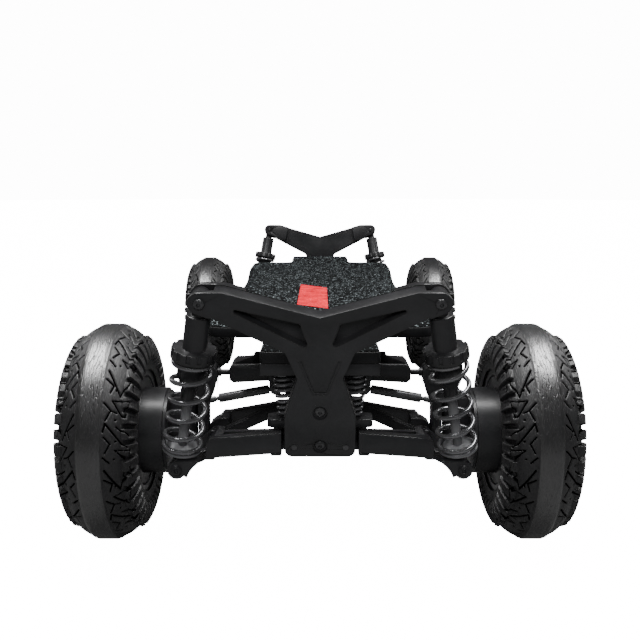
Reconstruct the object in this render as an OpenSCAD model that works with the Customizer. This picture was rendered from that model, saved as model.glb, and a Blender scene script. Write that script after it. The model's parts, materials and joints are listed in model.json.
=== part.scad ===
// Four-wheel electric skateboard: a deck on two identical trucks that steer when the deck leans.
// Each truck has double wishbones, coil-over dampers, a steering rack and geared hub motors.
// Z is up, the board runs along Y and the origin is on the ground below the middle of the deck.

/* [Overall] */
// Distance between the front and rear axles
wheelbase = 800; // [760:5:900]
// Distance between the tyre centres of one axle
track = 433; // [424:1:460]

/* [Deck] */
// How far the deck reaches past each axle
deck_reach = 104; // [96:1:106]
// Width of the deck at its shoulders
deck_w = 254; // [215:1:270]
// Width of the deck at its waist
deck_waist = 228; // [200:1:250]
// Width of the nose that carries the truck bracket
neck_w = 112; // [100:1:130]
// Length of each nose, up to the shoulder
neck_len = 132; // [120:1:150]
// Thickness of the deck board
deck_t = 11; // [9:0.5:14]
// Thickness of the grip tape
grip_t = 1.2; // [0.8:0.1:2]
// Height of the deck's underside above the ground
deck_z = 206; // [206:1:215]

/* [Wheels] */
// Outer diameter of the tyre
tyre_d = 225; // [200:1:235]
// Width of the tyre
tyre_w = 76; // [68:1:80]
// Diameter of the rim's tyre seat
rim_d = 122; // [116:1:136]
// Thickness of the rim's barrel
rim_t = 3.6; // [3:0.2:5]
// Diameter of the axle
axle_d = 17; // [12:1:20]

/* [Hub motor] */
// Outer diameter of the gear and motor case
case_d = 90; // [80:1:96]
// Wall of the case
case_t = 4; // [3:0.5:6]

/* [Suspension] */
// Height of the tower above its base line, up to the damper bolts
tower_h = 144.4; // [135:0.5:150]
// Half the distance between the two damper bolts on the tower
tower_x = 105.5; // [98:0.5:110]
// Thickness of the tower plate
tower_t = 18; // [15:0.5:20]
// Outward lean of the tower in degrees
tower_lean = 13; // [8:0.5:15]
// Diameter of the damper's upper body
damper_d = 22.6; // [18:0.2:23]
// Diameter of the damper's preload ring
ring_d = 42; // [38:0.5:44]
// Outer diameter of the damper's spring
spring_d = 39.4; // [33:0.2:40]
// Wire of the damper's spring
spring_wire = 4.8; // [3.6:0.2:5.2]
// Diameter of the suspension's hinge pins
pin_d = 6; // [4:0.5:7]

/* [Battery] */
// Length of the battery case
case_len = 400; // [340:5:420]
// Width of the battery case
case_w = 184; // [160:2:196]
// Depth of the battery case
case_h = 28; // [25:0.5:30]

/* [Fit] */
// Clearance round a pin that turns in its eye
fit = 0.1; // [0.05:0.05:0.3]
// Clearance round the pin of a ball end, which also tilts
ball_fit = 1.5; // [1.2:0.1:1.8]

/* [Hidden] */
$fn = 48;

// Colours of the finishes
black_metal = [0.13, 0.13, 0.14];
dark_metal = [0.2, 0.2, 0.21];
steel = [0.6, 0.6, 0.62];
spring_steel = [0.42, 0.42, 0.43];
rubber = [0.09, 0.09, 0.09];

// Points of one truck. x runs out from the middle, y runs from the axle to the end of the board.
wheel_x = track / 2;
axle_z = tyre_d / 2;
deck_len = wheelbase + 2 * deck_reach;
end_y = deck_reach;
pin_r = pin_d / 2;
lower_in = [24, 127];
lower_out = [126, 95];
upper_in = [44, 179];
upper_out = [116, 175];
king_x = 138;
tie_y = -36;
tie_in = [48, 149];
tie_out = [134, 133];
rack_y = -47;
lean_z = deck_z - 22;
plane_y = 108;
plane_z = 126;
damper_n = -15.5;
damper_foot = [134.6, 104.8];
barrel_r = 9;

// Point of the tower's leaning plane in the truck's own frame
function on_plane(x, n, v) = [
    x, plane_y + v * sin(tower_lean) + n * cos(tower_lean),
    plane_z + v * cos(tower_lean) - n * sin(tower_lean)];

damper_top = on_plane(tower_x, damper_n, tower_h);
damper_end = [damper_foot[0],
    damper_top[1] - (damper_top[2] - damper_foot[1]) * tan(tower_lean), damper_foot[1]];
damper_v = (damper_top[2] - damper_end[2]) / cos(tower_lean);
damper_len = norm(damper_end - damper_top);
damper_tilt = atan2(damper_end[0] - tower_x, damper_v);
ring_s = 49;
ring_h = 10;
seat_s = damper_len - 19;
notches = 13;
foot_y = damper_end[1];

// Outline of a link between two round ends
function link2d(p, q, rp, rq, n = 10) =
    let (d = norm(q - p), a = atan2(q[1] - p[1], q[0] - p[0]), b = acos((rp - rq) / d))
    concat(
        [for (i = [0:n]) let (t = a + b + (360 - 2 * b) * i / n) p + rp * [cos(t), sin(t)]],
        [for (i = [0:n]) let (t = a - b + 2 * b * i / n) q + rq * [cos(t), sin(t)]]);

function arc2d(c, rx, ry, a0, a1, n = 8) =
    [for (i = [0:n]) let (t = a0 + (a1 - a0) * i / n) c + [rx * cos(t), ry * sin(t)]];

// Places what belongs to the front or the rear truck, and what belongs to its left or right side
module truck(end) { rotate([0, 0, end == "front" ? 180 : 0]) translate([0, wheelbase / 2, 0]) children(); }
module corner(end, side) {
    flip = (end == "front") == (side == "left") ? 1 : 0;
    truck(end) mirror([flip, 0, 0]) children();
}
module both_sides() { for (s = [0, 1]) mirror([s, 0, 0]) children(); }
module lean_frame() { translate([0, plane_y, plane_z]) rotate([-tower_lean, 0, 0]) children(); }
module damper_frame() { lean_frame() translate([tower_x, damper_n, tower_h]) rotate([0, -damper_tilt, 0])
    children(); }

// A plate that stands across the board between y0 and y1, drawn in x and z
module across(y0, y1) { translate([0, y1, 0]) rotate([90, 0, 0]) linear_extrude(y1 - y0) children(); }
module rod_y(x, z, y0, y1, r) { translate([x, y0, z]) rotate([-90, 0, 0]) cylinder(h = y1 - y0, r = r); }
module block(x0, x1, y0, y1, z0, z1) { translate([x0, y0, z0]) cube([x1 - x0, y1 - y0, z1 - z0]); }

// A button-head screw that points down from z = 0, with its hexagon socket
module screw(d, len) {
    difference() {
        union() {
            translate([0, 0, -len]) cylinder(h = len, d = d);
            rotate_extrude($fn = 36) polygon(concat([[0, 0]], arc2d([0, 0], d * 0.88, d * 0.56, 0, 78,
                5), [[0, d * 0.56]]));
        }
        translate([0, 0, d * 0.14]) cylinder(h = d, d = d * 0.66, $fn = 6);
    }
}

// ---------- Deck ----------

shoulder_y = deck_len / 2 - neck_len;
corner_r = 26;

// Half of the deck's width at y, between the two shoulders
function deck_half(y) = deck_waist / 2 + (deck_w - deck_waist) / 2 * (1 - cos(180 * min(1, abs(y)
    / (shoulder_y - 60)))) / 2;

// One quarter of the outline, from the waist to the nose, set in by i
function deck_quarter(i) = let (w = deck_w / 2 - i, n = neck_w / 2 - i, s = shoulder_y - i) concat(
    [for (k = [0:8]) let (y = (shoulder_y - 60) * k / 8) [deck_half(y) - i, y]],
    arc2d([w - corner_r, s - corner_r], corner_r, corner_r, 0, 82),
    arc2d([n + 16, s + 15], 16, 16, 268, 180, 5),
    arc2d([n - 5, deck_len / 2 - i - 5], 5, 5, 0, 90, 4));
function deck_outline(i) = let (q = deck_quarter(i), n = len(q) - 1) concat(
    q, [for (k = [n:-1:0]) [-q[k][0], q[k][1]]],
    [for (k = [1:n]) [-q[k][0], -q[k][1]]], [for (k = [n:-1:1]) [q[k][0], -q[k][1]]]);

mount_screws = [[18, -44], [18, 20], [40, 82]];
mount_hole_d = 6;
head_sink = 2;
module mount_holes(d, z0) {
    for (end = ["front", "rear"]) truck(end) for (p = mount_screws) for (s = [-1, 1])
        translate([s * p[0], p[1], z0]) cylinder(h = 40, d = d);
}

module deck_board() {
    color(black_metal) difference() {
        translate([0, 0, deck_z]) linear_extrude(deck_t) polygon(deck_outline(0));
        mount_holes(mount_hole_d + 0.2, deck_z - 1);
        mount_holes(mount_hole_d * 1.75 + 0.6, deck_z + deck_t - head_sink);
    }
}
module grip_tape() {
    color([0.07, 0.07, 0.08]) difference() {
        translate([0, 0, deck_z + deck_t]) linear_extrude(grip_t) polygon(deck_outline(1.5));
        mount_holes(mount_hole_d * 1.75 + 1.2, deck_z);
    }
}
module deck_screws() {
    color(dark_metal) for (end = ["front", "rear"]) truck(end) for (p = mount_screws) for (s = [-1, 1])
        translate([s * p[0], p[1], deck_z + deck_t - head_sink]) screw(mount_hole_d, deck_t - head_sink + 9);
}

case_wall = 3;
case_r = 22;
module case_plan(i) {
    hull() for (x = [-1, 1]) for (y = [-1, 1])
        translate([x * (case_w / 2 - case_r), y * (case_len / 2 - case_r)]) circle(case_r - i, $fn = 32);
}
module battery_case() {
    color(black_metal) difference() {
        translate([0, 0, deck_z - case_h]) linear_extrude(case_h) case_plan(0);
        translate([0, 0, deck_z - case_h + case_wall]) linear_extrude(case_h) case_plan(case_wall);
        translate([case_w / 2 - 10, port_y, port_z]) rotate([0, 90, 0]) cylinder(h = 20, d = port_d + 0.2);
        translate([case_w / 2 - 10, button_y, port_z]) rotate([0, 90, 0])
            cylinder(h = 20, d = button_d + 0.6);
    }
}
cell_d = 18.4;
cell_rows = 11;
module battery_pack() {
    color([0.1, 0.25, 0.5]) translate([0, -case_len / 2 + 32,
        deck_z - case_h + case_wall + 1 + cell_d / 2]) union() {
        for (k = [0:cell_rows - 1]) translate([-70, k * (cell_d - 0.4) + cell_d / 2, 0])
            rotate([0, 90, 0]) cylinder(h = 140, d = cell_d);
        translate([-70, cell_d / 2, -3]) cube([140, (cell_rows - 1) * (cell_d - 0.4), 6]);
    }
}
module motor_controller() {
    base_z = deck_z - case_h + case_wall + 1;
    color(dark_metal) translate([-55, case_len / 2 - 118, base_z]) union() {
        cube([110, 84, 9]);
        for (k = [0:10]) translate([k * 10 + 2, 0, 8]) cube([4, 84, 9]);
    }
}
port_d = 16;
port_y = case_len / 2 - 60;
port_z = deck_z - case_h / 2;
button_d = 14;
button_y = case_len / 2 - 90;
module charge_port() {
    color(dark_metal) translate([case_w / 2 - 12, port_y, port_z]) rotate([0, 90, 0]) difference() {
        union() {
            cylinder(h = 12, d = port_d);
            translate([0, 0, 12]) cylinder(h = 2, d = port_d + 5);
        }
        translate([0, 0, 3]) cylinder(h = 12, d = port_d - 5);
    }
}
module power_button() {
    color(steel) translate([case_w / 2 - case_wall - 2.2, button_y, port_z]) rotate([0, 90, 0]) union() {
        cylinder(h = 2, d = button_d + 3);
        cylinder(h = case_wall + 5.2, d = button_d);
    }
}

// ---------- Truck: bracket under the nose, chassis, tower, pins, cone springs and rack ----------

lean_pin_d = 10;
cone_x = 33.5;
cone_y = 80;
pad_z = 150;
plate_z = deck_z - 12;
lug_y0 = 31;
lug_y1 = 41;

module deck_mount() {
    color(black_metal) difference() {
        union() {
            block(-26, 26, -62, end_y - 2, plate_z, deck_z);
            translate([0, 0, plate_z]) linear_extrude(deck_z - plate_z) polygon([
                [26, 52], [neck_w / 2, 66], [neck_w / 2, end_y - 2],
                [-neck_w / 2, end_y - 2], [-neck_w / 2, 66], [-26, 52]]);
            for (y = [lug_y0, -lug_y1]) across(y, y + lug_y1 - lug_y0)
                polygon(link2d([0, lean_z], [0, plate_z], 10, 16));
            // tongue that moves the rack
            across(rack_y - 4, rack_y + 4)
                polygon([[-2.6, tie_in[1]], [2.6, tie_in[1]], [2.6, lean_z - 14], [9, plate_z + 1], [-9,
                    plate_z + 1], [-2.6, lean_z - 14]]);
            rod_y(0, tie_in[1], rack_y - 4, rack_y + 4, 4);
            for (s = [-1, 1]) translate([s * cone_x, cone_y, plate_z - 5]) cylinder(h = 6, r = 7.4);
        }
        block(-60, 60, -100, 120, deck_z, deck_z + 30);
        rod_y(0, lean_z, -lug_y1 - 1, lug_y1 + 1, lean_pin_d / 2 + fit);
        for (p = mount_screws) for (s = [-1, 1]) translate([s * p[0], p[1], plate_z - 20])
            cylinder(h = 60, d = mount_hole_d + 0.2);
    }
}

spine_w = 26;
wing_y0 = 21;
wing_y1 = 28;
back_y0 = -66;
back_y1 = -54;
module chassis() {
    color(black_metal) difference() {
        union() {
            block(-spine_w / 2, spine_w / 2, back_y1, 100, 112, 142);
            block(-12, 12, 84, 100, 112, 172);
            // rear plate with the guides of the rack
            across(back_y0, back_y1) polygon([[-31, 112], [31, 112], [34, 116], [34, 150], [28, 160],
                [-28, 160], [-34, 150], [-34, 116]]);
            both_sides() difference() {
                block(17, 29, back_y1 - 1, rack_y + 9, tie_in[1] - 8, 160);
                translate([0, rack_y, tie_in[1]]) rotate([0, 90, 0]) cylinder(h = 60, r = 5 + fit);
            }
            // wings that carry the upper arms
            for (y = [wing_y0, -wing_y1]) across(y, y + wing_y1 - wing_y0) polygon([
                [-13, 130], [13, 130], [24, 150], [53, 172], [53, 184], [50, 188], [40, 188], [16, 176],
                    [9, lean_z],
                [-9, lean_z], [-16, 176], [-40, 188], [-50, 188], [-53, 184], [-53, 172], [-24, 150]]);
            block(-8, 8, -wing_y1, wing_y1, 130, lean_z - 3);
            rod_y(0, lean_z, -wing_y1 - 2, wing_y1 + 2, 9);
            // pads of the cone springs
            translate([0, 0, pad_z - 8]) linear_extrude(8) polygon([
                [-13, 56], [13, 56], [42, 66], [50, 70], [50, 90], [46, 94], [-46, 94], [-50, 90], [-50,
                    70], [-42, 66]]);
            for (s = [-1, 1]) translate([s * cone_x, cone_y, pad_z - 1]) cylinder(h = 7, r = 3);
        }
        rod_y(0, lean_z, -wing_y1 - 3, wing_y1 + 3, lean_pin_d / 2 + fit);
        both_sides() rod_y(upper_in[0], upper_in[1], -wing_y1 - 1, wing_y1 + 1, pin_r + fit);
        both_sides() rod_y(lower_in[0], lower_in[1], back_y0 - 1, back_y1 + 1, pin_r + fit);
        lean_frame() translate([-80, -tower_t, -60]) cube([160, 60, 140]);
        lean_frame() for (v = tower_bolts) translate([0, -tower_t + 1, v]) rotate([90, 0, 0])
            cylinder(h = 18, r = 3.1);
    }
}

tower_bolts = [37, 2];
base_half = 33;
ear_n = -29;
cheek_n = -7.5;
slot_n = -23.5;
function tower_half() = concat(
    [[0, tower_h - 12.8], [tower_x - 21, tower_h + 10.5]],
    arc2d([tower_x, tower_h], 10.5, 10.5, 90, -52),
    arc2d([tower_x - 8, tower_h - 9], 5, 5, -55, -115, 3),
    [[31, 97], [20.8, 72.4], [base_half, 32]],
    arc2d([base_half - 7, -2], 7, 7, 0, -90, 5));
function tower_outline() = let (q = tower_half(), n = len(q) - 1) concat(q, [for (k = [n:-1:1])
    [-q[k][0], q[k][1]]]);
module tower() {
    color(black_metal) difference() {
        tower_plate();
        both_sides() rod_y(lower_in[0], lower_in[1], 60, 140, pin_r + fit);
    }
}
module tower_plate() {
    lean_frame() difference() {
        union() {
            across(-tower_t, 0) polygon(tower_outline());
            // ear behind the damper's eye
            both_sides() across(ear_n, -tower_t + 1) polygon(concat(
                arc2d([tower_x, tower_h], 10.5, 10.5, 90, -60),
                [[84, tower_h - 19], [72, tower_h - 22], [66, tower_h + 5], [84, tower_h + 10.3]]));
        }
        both_sides() {
            // slot that the damper's eye turns in
            across(slot_n, cheek_n) polygon([
                [tower_x - 12.5, tower_h + 30], [tower_x - 12.5, tower_h - 8], [tower_x - 10, tower_h - 40],
                [tower_x + 40, tower_h - 40], [tower_x + 40, tower_h + 30]]);
            rod_y(tower_x, tower_h, ear_n - 1, 1, pin_r + fit);
            // pocket of the arm
            across(-tower_t + 5.5, 1) polygon(concat(
                arc2d([20, 122.8], 3, 3, 100, 190, 4), arc2d([14.2, 106.8], 3, 3, 190, 300, 4),
                arc2d([74, 137.2], 1.6, 1.6, -60, 90, 4)));
        }
        // shallow keel panel below the arms
        difference() {
            across(-1.4, 1) polygon([[-19.5, 89], [19.5, 89], [7, 56], [-7, 56]]);
            across(-3, 2) polygon([[-16.5, 90], [16.5, 90], [5.6, 58.5], [-5.6, 58.5]]);
        }
        for (v = tower_bolts) translate([0, 1, v]) rotate([90, 0, 0]) {
            cylinder(h = 4.4, r = 6.6);
            cylinder(h = 40, r = 3.1);
        }
    }
}
module truck_pins() {
    color(dark_metal) {
        both_sides() rod_y(lower_in[0], lower_in[1], back_y0 - 2, plane_y - 0.6, pin_r);
        both_sides() rod_y(upper_in[0], upper_in[1], -wing_y1 - 2, wing_y1 + 2, pin_r);
        lean_frame() {
            for (v = tower_bolts) translate([0, -3.4, v]) rotate([-90, 0, 0]) screw(6, 26);
            both_sides() translate([tower_x, 0, tower_h]) rotate([-90, 0, 0]) screw(pin_d, 32);
        }
    }
}
module lean_pin() {
    color(dark_metal) {
        rod_y(0, lean_z, -lug_y1 - 2, lug_y1 + 2, lean_pin_d / 2);
        for (s = [-1, 1]) translate([0, s * (lug_y1 + 1.5), lean_z]) rotate([-90 * s, 0, 0])
            cylinder(h = 4, r = 8, $fn = 6);
    }
}

// A closed coil of round wire: turns, height and radius at both ends
sides = 6;
steps = 12;
function coil_point(i, n, turns, h, r0, r1, wire) = let (
        t = i / n, flat = 0.62 / turns,
        u = t < flat ? 0 : (t > 1 - flat ? 1 : (t - flat) / (1 - 2 * flat)),
        drift = wire * 0.55 * (min(t, flat) + max(0, t - 1 + flat)) / flat,
        r = r0 + (r1 - r0) * t)
    [r * cos(360 * turns * t), r * sin(360 * turns * t), wire / 2 + drift + (h - 2.1 * wire) * u];
module coil(turns, h, r0, r1, wire) {
    n = round(turns * steps);
    points = [for (i = [0:n]) let (p = coil_point(i, n, turns, h, r0, r1, wire), a = 360 * turns * i / n)
        for (k = [0:sides - 1]) let (b = 360 * k / sides)
            p + wire / 2 * [cos(a) * cos(b), sin(a) * cos(b), sin(b)]];
    faces = concat(
        [[for (k = [0:sides - 1]) k]],
        [for (i = [0:n - 1]) for (k = [0:sides - 1]) let (a = i * sides + k, b = i * sides + (k + 1) % sides)
            [a, a + sides, b + sides, b]],
        [[for (k = [sides - 1:-1:0]) n * sides + k]]);
    polyhedron(points, faces);
}
module cone_springs() {
    color(spring_steel) for (s = [-1, 1]) translate([s * cone_x, cone_y, pad_z])
        coil(8, plate_z - pad_z, 5.4, 10.8, 3.2);
}
module rack() {
    color(dark_metal) difference() {
        union() {
            translate([-56, rack_y, tie_in[1]]) rotate([0, 90, 0]) cylinder(h = 112, r = 5);
            block(-10, 10, rack_y - 5, rack_y + 5, tie_in[1] - 7, tie_in[1] + 7);
            both_sides() rod_y(tie_in[0], tie_in[1], rack_y, tie_y + 7, pin_r);
            both_sides() rod_y(tie_in[0], tie_in[1], rack_y - 6, rack_y + 5.4, 7);
        }
        block(-4.3, 4.3, rack_y - 6, rack_y + 6, tie_in[1] - 5, tie_in[1] + 9);
    }
}

// ---------- One corner, drawn for the side where x is positive ----------

front_y0 = 96;
carrier_half = 13;
clevis_half = 24;
foot_r = 8.8;
function arm_profile(x0) = concat(
    [[x0, 122], [x0, 141]],
    arc2d([100, 130], 6, 6, 85, 0, 4), [[107, 118], [111, 114]],
    arc2d(damper_foot, foot_r, foot_r, 95, -140, 10),
    arc2d([97, 87], 30, 30, 20, 90, 6));
module arm_rib(x0, y0, x1, y1, w, z0, z1, h) {
    hull() {
        translate([x0, y0, z0 - h / 2]) cylinder(h = h, d = w, $fn = 24);
        translate([x1, y1, z1 - h / 2]) cylinder(h = h, d = w, $fn = 24);
    }
}
module lower_arm() {
    color(black_metal) difference() {
        union() {
            // front beam, with the damper's clevis at its outer end
            across(front_y0, plane_y) polygon(arm_profile(36));
            across(foot_y - 20, foot_y - 8) polygon(concat(
                [[97, 119], [107, 118], [111, 114]], arc2d(damper_foot, foot_r, foot_r, 95, -140, 10),
                    arc2d([97, 87], 30, 30, 20, 90, 6)));
            // hinge barrels and their webs
            rod_y(lower_in[0], lower_in[1], 64, 86.5, barrel_r);
            across(64, 86.5) polygon([[24, 119], [46, 118], [46, 133], [24, 135]]);
            block(36, 46, 64, 107.9, 119, 134);
            rod_y(lower_in[0], lower_in[1], -52, -38, barrel_r);
            across(-52, -40) polygon(concat([[24, 118], [24, 135], [100, 121]], arc2d([112, 104], 10, 10,
                70, -70, 4), [[96, 103]]));
            // outer beam with the carrier's clevis
            across(carrier_half + 0.6, foot_y - 12)
                polygon([[98, 109], [98, 121], [106, 121], [114, 112], [114, 104], [104, 104]]);
            across(-52, -carrier_half - 0.6)
                polygon([[98, 109], [98, 121], [106, 121], [114, 112], [114, 104], [104, 104]]);
            for (y = [carrier_half + 0.6, -clevis_half]) across(y, y + clevis_half - carrier_half - 0.6)
                polygon(link2d([106, 110], lower_out, 11, 8.5));
            // diagonals
            arm_rib(40, 70, 108, 24, 9, 127, 112, 12);
            arm_rib(38, -44, 106, 20, 8, 127, 112, 10);
            arm_rib(44, 98, 104, 74, 7, 128, 116, 9);
        }
        rod_y(lower_in[0], lower_in[1], -60, 100, pin_r + fit);
        rod_y(lower_out[0], lower_out[1], -clevis_half - 1, clevis_half + 1, pin_r + fit);
        rod_y(damper_foot[0], damper_foot[1], foot_y - 21, plane_y + 1, pin_r + fit);
    }
    color(dark_metal) {
        translate([damper_foot[0], plane_y, damper_foot[1]]) rotate([-90, 0, 0]) screw(pin_d, 40);
        rod_y(lower_out[0], lower_out[1], -clevis_half - 1.5, clevis_half + 1.5, pin_r);
    }
}
arm_half = 20;
box_end = 93;
module upper_arm() {
    color(black_metal) difference() {
        // wider outside the chassis wing than between the wings
        intersection() {
            across(-60, 30) polygon(concat(
                arc2d(upper_in, barrel_r, barrel_r, 72, 288, 12),
                [[box_end - 4, 168], [box_end, 171], [box_end, 183], [box_end - 4, 187]]));
            translate([0, 0, 160]) linear_extrude(40) polygon([
                [30, -arm_half], [57, -arm_half], [57, -46], [70, -50], [95, -28], [95, arm_half], [30,
                    arm_half]]);
        }
        // pocket on the top
        translate([0, 0, 177]) linear_extrude(20)
            polygon([[60, 14], [88, 14], [88, 10], [66, -36], [60, -36]]);
        rod_y(upper_in[0], upper_in[1], -arm_half - 1, arm_half + 1, pin_r + fit);
        translate([box_end - 16, 0, upper_out[1]]) rotate([0, 90, 0]) cylinder(h = 20, r = 3.1);
        // rebate under the deck's shoulder, which comes down here when the board leans
        translate([72, -52, 184]) cube([25, 25, 6]);
    }
    color(steel) translate([box_end - 15, 0, upper_out[1]]) rotate([0, 90, 0])
        cylinder(h = upper_out[0] - box_end + 2.9, r = 3);
    color(black_metal) difference() {
        union() {
            rod_y(upper_out[0], upper_out[1], -4.6, 4.6, 9);
            translate([upper_out[0] - 12.5, 0, upper_out[1]]) rotate([0, 90, 0]) cylinder(h = 8, r = 4.6);
        }
        rod_y(upper_out[0], upper_out[1], -6, 6, pin_r + ball_fit);
    }
}
lug_r = 9;
knuckle_z0 = 107;
knuckle_z1 = 149;
module carrier() {
    color(black_metal) difference() {
        union() {
            rod_y(lower_out[0], lower_out[1], -carrier_half, carrier_half, 7.6);
            across(-carrier_half, carrier_half)
                polygon([[118, 96], [126, 103], [127, 106.5], [127, 158], [117, 158], [117.5, 120]]);
            for (z = [knuckle_z0 - 8.6, knuckle_z1 + 0.6]) translate([0, 0, z]) linear_extrude(8)
                polygon(link2d([124.5, 0], [king_x, 0], 9.5, lug_r));
            for (y = [6.4, -carrier_half]) across(y, y + carrier_half - 6.4)
                polygon(link2d([121, 152], upper_out, 8, 9.4));
        }
        rod_y(lower_out[0], lower_out[1], -carrier_half - 1, carrier_half + 1, pin_r + fit);
        rod_y(upper_out[0], upper_out[1], -carrier_half - 1, carrier_half + 1, pin_r + fit);
        translate([upper_out[0] - 22, -6.4, 163.5]) cube([44, 12.8, 40]);
        translate([king_x, 0, 90]) cylinder(h = 80, r = 4 + fit);
    }
    color(dark_metal) {
        rod_y(upper_out[0], upper_out[1], -carrier_half - 1.5, carrier_half + 1.5, pin_r);
        translate([king_x, 0, knuckle_z0 - 9]) cylinder(h = knuckle_z1 - knuckle_z0 + 18.5, r = 4);
    }
}
case_x0 = king_x + 19;
case_x1 = wheel_x - 6;
module along_x(x, z, len, r) { translate([x, 0, z]) rotate([0, 90, 0]) cylinder(h = len, r = r, $fn = 72); }
module knuckle() {
    color(black_metal) difference() {
        union() {
            // case of the gearbox and motor, with the axle
            difference() {
                union() {
                    along_x(case_x0, axle_z, 3.1, case_d / 2 - 2.5);
                    along_x(case_x0 + 3, axle_z, case_x1 - case_x0 - 3, case_d / 2);
                }
                along_x(case_x0 + case_t, axle_z, case_x1 - case_x0 - 2 * case_t, case_d / 2 - case_t);
            }
            along_x(case_x1 - case_t, axle_z, wheel_x + 26 - case_x1 + case_t, axle_d / 2);
            // dust shield inside the rim
            difference() {
                along_x(wheel_x - rim_half + 1, axle_z, 2.5, seat_r - rim_t - 1);
                along_x(wheel_x - rim_half, axle_z, 6, case_d / 2 - 1);
            }
            // boss round the kingpin
            translate([king_x, 0, knuckle_z0]) cylinder(h = knuckle_z1 - knuckle_z0, r = lug_r);
            block(king_x, case_x0 + 1, -8.5, 8.5, knuckle_z0, knuckle_z1);
            // steering arm with the stud of the tie rod
            translate([0, 0, 120]) linear_extrude(7.5)
                polygon(link2d([142, -4], [tie_out[0], tie_y], 8.5, 7.5));
            translate([tie_out[0], tie_y, 122]) cylinder(h = 20.5, r = pin_r);
            translate([tie_out[0], tie_y, tie_out[1] + 7.4]) cylinder(h = 3, r = pin_r + 2.6, $fn = 6);
        }
        translate([king_x, 0, 90]) cylinder(h = 80, r = 4 + fit);
    }
    // motor and gear inside the case
    color(steel) along_x(case_x0 + case_t + 0.5, axle_z, (case_x1 - case_x0)
        * 0.5, case_d / 2 - case_t - 1.5);
    color(steel) along_x(case_x0 + case_t + 1.5 + (case_x1 - case_x0) * 0.5, axle_z, (case_x1 - case_x0)
        * 0.5 - 2 * case_t - 2, case_d / 2 - case_t - 8);
    // nut that holds the wheel on the axle
    color(steel) difference() {
        along_x(wheel_x + 19, axle_z, 6.5, 14);
        along_x(wheel_x + 18, axle_z, 9, axle_d / 2 + fit);
    }
}
rim_half = tyre_w / 2 - 5;
seat_r = rim_d / 2;
spokes = 5;
module rim() {
    color(dark_metal) translate([wheel_x, 0, axle_z]) rotate([0, 90, 0]) difference() {
        rotate_extrude($fn = 96) union() {
            polygon([
                [seat_r - rim_t, -rim_half], [seat_r + 5, -rim_half], [seat_r + 5, -rim_half + 3],
                    [seat_r, -rim_half + 4],
                [seat_r, rim_half - 4], [seat_r + 5, rim_half - 3], [seat_r + 5, rim_half],
                    [seat_r - rim_t, rim_half]]);
            translate([axle_d / 2 + fit, -4]) square([seat_r - axle_d / 2 - rim_t / 2 - fit, 11]);
            translate([axle_d / 2 + fit, -4.5]) square([10, 22]);
        }
        for (k = [0:spokes - 1]) rotate([0, 0, 360 * k / spokes]) translate([0, 0, -10])
            linear_extrude(30) polygon(concat(
                arc2d([0, 0], seat_r - rim_t - 2, seat_r - rim_t - 2, -24, 24, 6),
                arc2d([0, 0], axle_d / 2 + 15, axle_d / 2 + 15, 16, -16, 4)));
    }
}
module tyre() {
    r = tyre_d / 2;
    w = tyre_w / 2;
    color(rubber) translate([wheel_x, 0, axle_z]) rotate([0, 90, 0]) rotate_extrude($fn = 96) difference() {
        polygon(concat(
            [[seat_r + 0.1, -rim_half + 4.2], [seat_r + 5.2, -rim_half + 3.1], [seat_r + 5.2,
                -rim_half - 1], [seat_r + 8, -rim_half - 3]],
            arc2d([r - 38, 0], 38, w, -78, 78, 16),
            [[seat_r + 8, rim_half + 3], [seat_r + 5.2, rim_half + 1], [seat_r + 5.2, rim_half - 3.1],
                [seat_r + 0.1, rim_half - 4.2]]));
        polygon(concat(
            [[seat_r - 1, -rim_half + 9], [seat_r + 6, -rim_half + 7]],
            arc2d([r - 38, 0], 29, w - 7, -70, 70, 12),
            [[seat_r + 6, rim_half - 7], [seat_r - 1, rim_half - 9]]));
    }
}
tie_len = norm(tie_out - tie_in);
tie_drop = atan2(tie_in[1] - tie_out[1], tie_out[0] - tie_in[0]);
module tie_rod() {
    color(dark_metal) difference() {
        union() {
            rod_y(tie_in[0], tie_in[1], tie_y - 5, tie_y + 5, 7);
            translate([tie_out[0], tie_y, tie_out[1] - 3.6]) cylinder(h = 7.2, r = 8);
            translate([tie_in[0], tie_y, tie_in[1]]) rotate([0, 90 + tie_drop, 0]) union() {
                cylinder(h = tie_len - 5, r = 2.5);
                translate([0, 0, 8]) cylinder(h = tie_len - 32, r = 5);
                translate([0, 0, tie_len - 20]) cylinder(h = 14, r1 = 3.2, r2 = 4.3);
            }
        }
        rod_y(tie_in[0], tie_in[1], tie_y - 6, tie_y + 6, pin_r + fit);
        translate([tie_out[0], tie_y, tie_out[1] - 10]) cylinder(h = 20, r = pin_r + ball_fit);
    }
}
damper_r = damper_d / 2;
shaft_r = 4.7;
sleeve_r = spring_d / 2 - spring_wire - 1.7;
sleeve_end = 78;
cone_end = 90;
body_end = 101;
eye_fit = fit + 0.2;
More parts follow.
